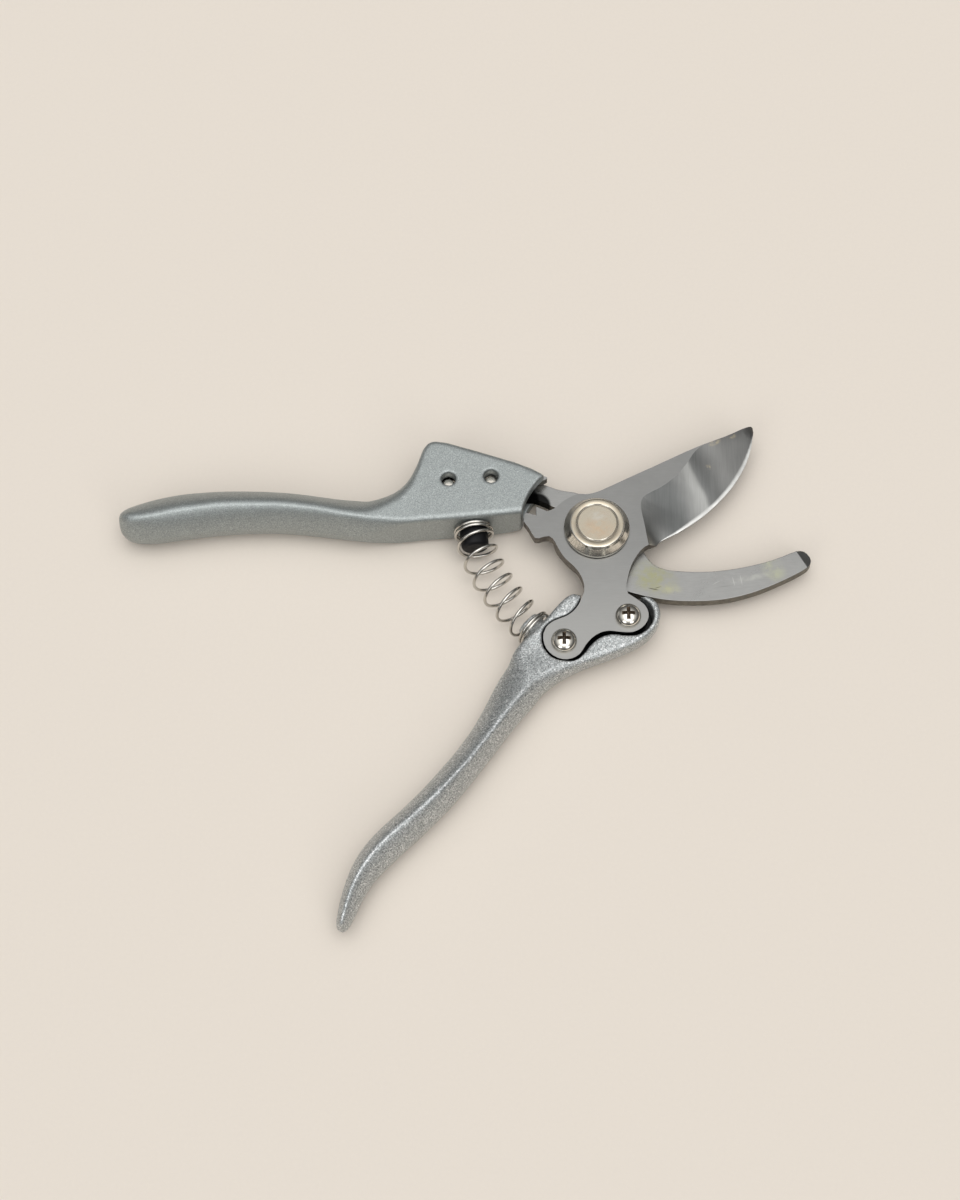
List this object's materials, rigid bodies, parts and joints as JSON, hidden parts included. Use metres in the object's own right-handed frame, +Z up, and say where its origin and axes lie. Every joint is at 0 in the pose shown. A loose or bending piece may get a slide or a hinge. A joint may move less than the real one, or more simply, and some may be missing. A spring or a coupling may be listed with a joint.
{
  "type": "pruning shears",
  "caption": "Bypass pruning shears with two cast metal handles, a bolted-on cutting blade, a hooked counter blade, an opening spring and a locking catch, lying open.",
  "frame": {"origin": "On the pivot axis, in the plane the shears lie on, at the centre of the pivot bolt's lower end face.", "axes": "+X along the upper handle from its tail end towards the jaws, +Y in the plane of the blades towards the open cutting blade, +Z up along the pivot axis."},
  "size_m": [0.1991, 0.1529, 0.016],
  "materials": {
    "painted_casting": "silver metallic hammered stove enamel on die-cast metal, semi-gloss",
    "blade_steel": "finely ground tool steel",
    "bright_plating": "bright nickel plating",
    "zinc_plating": "dull zinc plating",
    "spring_wire": "bright drawn spring wire",
    "black_rubber": "moulded black rubber, satin"
  },
  "bodies": {
    "upper": {"upper_handle": "painted_casting", "counter_blade": "blade_steel", "tang_pin": "bright_plating", "catch_pin": "bright_plating", "catch_washer": "zinc_plating", "pivot_nut": "zinc_plating", "spring_washer": "zinc_plating", "pivot_bolt": "bright_plating", "pivot_washer": "zinc_plating", "rubber_bumper": "black_rubber", "coil_spring": "spring_wire"},
    "lower": {"lower_handle": "painted_casting", "cutting_blade": "blade_steel", "blade_screw_1": "bright_plating", "blade_screw_2": "bright_plating"},
    "catch": {"lock_catch": "blade_steel"}
  },
  "joints": [
    {"name": "pivot", "type": "hinge", "parent": "upper", "child": "lower", "pos_m": [0, 0, 0.0095], "axis": [0, 0, 1], "range_deg": [-45, 0], "stiffness_Nm_per_rad": 0.8, "springref_deg": 11.46, "deforming": ["coil_spring"]},
    {"name": "catch_pivot", "type": "hinge", "parent": "upper", "child": "catch", "pos_m": [-0.03035, 0.0154, 0.0097], "axis": [0, 0, 1], "range_deg": [-10, 0]}
  ]
}
